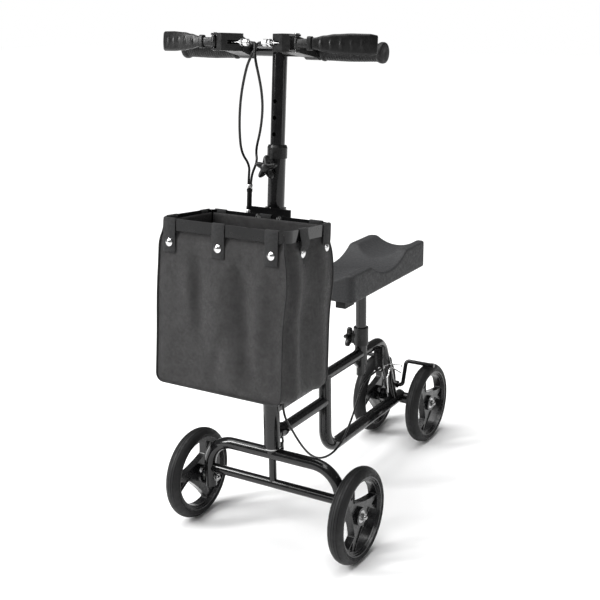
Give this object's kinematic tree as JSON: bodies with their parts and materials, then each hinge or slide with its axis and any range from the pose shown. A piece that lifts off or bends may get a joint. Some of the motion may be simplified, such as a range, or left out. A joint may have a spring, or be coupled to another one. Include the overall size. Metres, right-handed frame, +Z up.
{
  "type": "knee scooter",
  "caption": "Steerable four-wheeled knee scooter with a padded knee rest, folding column, hand brakes and a fabric basket hung from a metal rail.",
  "frame": {"origin": "on the floor, under the middle of the whole scooter's box", "axes": "+Z up, -Y the way it rolls, +X the rider's left"},
  "size_m": [0.462, 0.8929, 1.0362],
  "materials": {
    "black_paint": "gloss",
    "rim_black": "gloss",
    "tyre_rubber": "matte",
    "bright_nut": "polished",
    "plain_steel": "satin",
    "brake_grey": "satin",
    "adjuster_silver": "satin",
    "lever_black": "satin",
    "grip_rubber": "matte",
    "knob_plastic": "satin",
    "bag_fabric": "matte",
    "pad_skin": "matte",
    "board_black": "matte",
    "cable_black": "gloss",
    "bright_wire": "bright"
  },
  "bodies": {
    "frame": {"head_tube": "black_paint", "headset_bearings": "plain_steel", "main_tube_upper": "black_paint", "main_tube_lower": "black_paint", "main_tube_sleeve": "black_paint", "frame_loop": "black_paint", "rear_axle": "bright_nut", "rear_wheel_bearings": "plain_steel", "seat_sleeve": "black_paint", "seat_collar": "knob_plastic", "lock_pin_housing": "black_paint", "brake_brackets": "black_paint", "rear_cable_adjuster": "adjuster_silver", "rear_cable_lower": "cable_black", "brake_wire": "bright_wire", "brake_spring": "bright_wire"},
    "fork": {"fork_arch": "black_paint", "fork_brace": "black_paint", "front_axle_bolts": "bright_nut", "front_wheel_bearings": "plain_steel", "steerer": "black_paint", "crown_washer": "bright_nut", "fold_hinge_yoke": "black_paint", "fold_hinge_pin": "bright_nut"},
    "lock_pin": {"steering_lock_pin": "black_paint"},
    "column": {"fold_hinge_block": "black_paint", "column_tube": "black_paint", "column_collar": "knob_plastic", "basket_bracket": "black_paint", "basket_bolts": "bright_nut", "basket_frame": "black_paint", "basket_bag": "bag_fabric", "cable_splitter": "cable_black", "rear_cable_upper": "cable_black"},
    "column_knob": {"column_knob": "knob_plastic"},
    "handlebar": {"handlebar": "black_paint", "grip_left": "grip_rubber", "grip_right": "grip_rubber", "brake_housing_left": "brake_grey", "brake_housing_right": "brake_grey", "lever_pins": "bright_nut", "cable_adjusters": "adjuster_silver", "brake_cable_left": "cable_black", "brake_cable_right": "cable_black"},
    "brake_lever_left": {"brake_lever_left": "lever_black"},
    "brake_lever_right": {"brake_lever_right": "lever_black"},
    "brake_bar": {"brake_bar": "black_paint"},
    "seat": {"seat_post": "black_paint", "pad_bracket": "black_paint", "pad_board": "board_black", "knee_pad": "pad_skin"},
    "seat_knob": {"seat_knob": "knob_plastic"},
    "front_left_wheel": {"front_left_tyre": "tyre_rubber", "front_left_wheel": "rim_black"},
    "front_right_wheel": {"front_right_tyre": "tyre_rubber", "front_right_wheel": "rim_black"},
    "rear_left_wheel": {"rear_left_tyre": "tyre_rubber", "rear_left_wheel": "rim_black"},
    "rear_right_wheel": {"rear_right_tyre": "tyre_rubber", "rear_right_wheel": "rim_black"}
  },
  "joints": [
    {"name": "steer", "type": "hinge", "parent": "frame", "child": "fork", "pos_m": [0, -0.2645, 0.206], "axis": [0, 0, 1], "range_deg": [-40, 40]},
    {"name": "steering_lock", "type": "slide", "parent": "frame", "child": "lock_pin", "axis": [0, 0, 1], "range_m": [-0.008, 0]},
    {"name": "column_fold", "type": "hinge", "parent": "fork", "child": "column", "pos_m": [0, -0.2645, 0.345], "axis": [-1, 0, 0], "range_deg": [0, 36]},
    {"name": "handlebar_height", "type": "slide", "parent": "column", "child": "handlebar", "axis": [0, 0.0928, 0.9957], "range_m": [-0.124, 0], "deforming": ["brake_cable_left", "brake_cable_right"]},
    {"name": "column_knob_turn", "type": "hinge", "parent": "column", "child": "column_knob", "pos_m": [0, -0.25372, 0.78389], "axis": [0, -0.9957, 0.0928], "range_deg": [0, 360]},
    {"name": "left_brake", "type": "hinge", "parent": "handlebar", "child": "brake_lever_left", "pos_m": [0.09, -0.29008, 1.01878], "axis": [0, 0.0928, 0.9957], "range_deg": [0, 13], "stiffness_Nm_per_rad": 4, "springref_deg": -5.73},
    {"name": "right_brake", "type": "hinge", "parent": "handlebar", "child": "brake_lever_right", "pos_m": [-0.09, -0.29008, 1.01878], "axis": [0, -0.0928, -0.9957], "range_deg": [0, 13], "stiffness_Nm_per_rad": 4, "springref_deg": -5.73},
    {"name": "rear_brake", "type": "hinge", "parent": "frame", "child": "brake_bar", "pos_m": [0, 0.3075, 0.148], "axis": [-1, 0, 0], "range_deg": [0, 5]},
    {"name": "seat_height", "type": "slide", "parent": "frame", "child": "seat", "axis": [0, 0, 1], "range_m": [-0.042, 0]},
    {"name": "seat_knob_turn", "type": "hinge", "parent": "frame", "child": "seat_knob", "pos_m": [-0.03, 0.1255, 0.323], "axis": [-1, 0, 0], "range_deg": [0, 360]},
    {"name": "front_left_roll", "type": "hinge", "parent": "fork", "child": "front_left_wheel", "pos_m": [0.197, -0.2645, 0.1], "axis": [1, 0, 0], "continuous": true},
    {"name": "front_right_roll", "type": "hinge", "parent": "fork", "child": "front_right_wheel", "pos_m": [-0.197, -0.2645, 0.1], "axis": [1, 0, 0], "continuous": true},
    {"name": "rear_left_roll", "type": "hinge", "parent": "frame", "child": "rear_left_wheel", "pos_m": [0.073, 0.3415, 0.1], "axis": [1, 0, 0], "continuous": true},
    {"name": "rear_right_roll", "type": "hinge", "parent": "frame", "child": "rear_right_wheel", "pos_m": [-0.073, 0.3415, 0.1], "axis": [1, 0, 0], "continuous": true}
  ],
  "couplings": [
    {"joint": "rear_brake", "follows": "right_brake", "ratio": 0.38462}
  ]
}
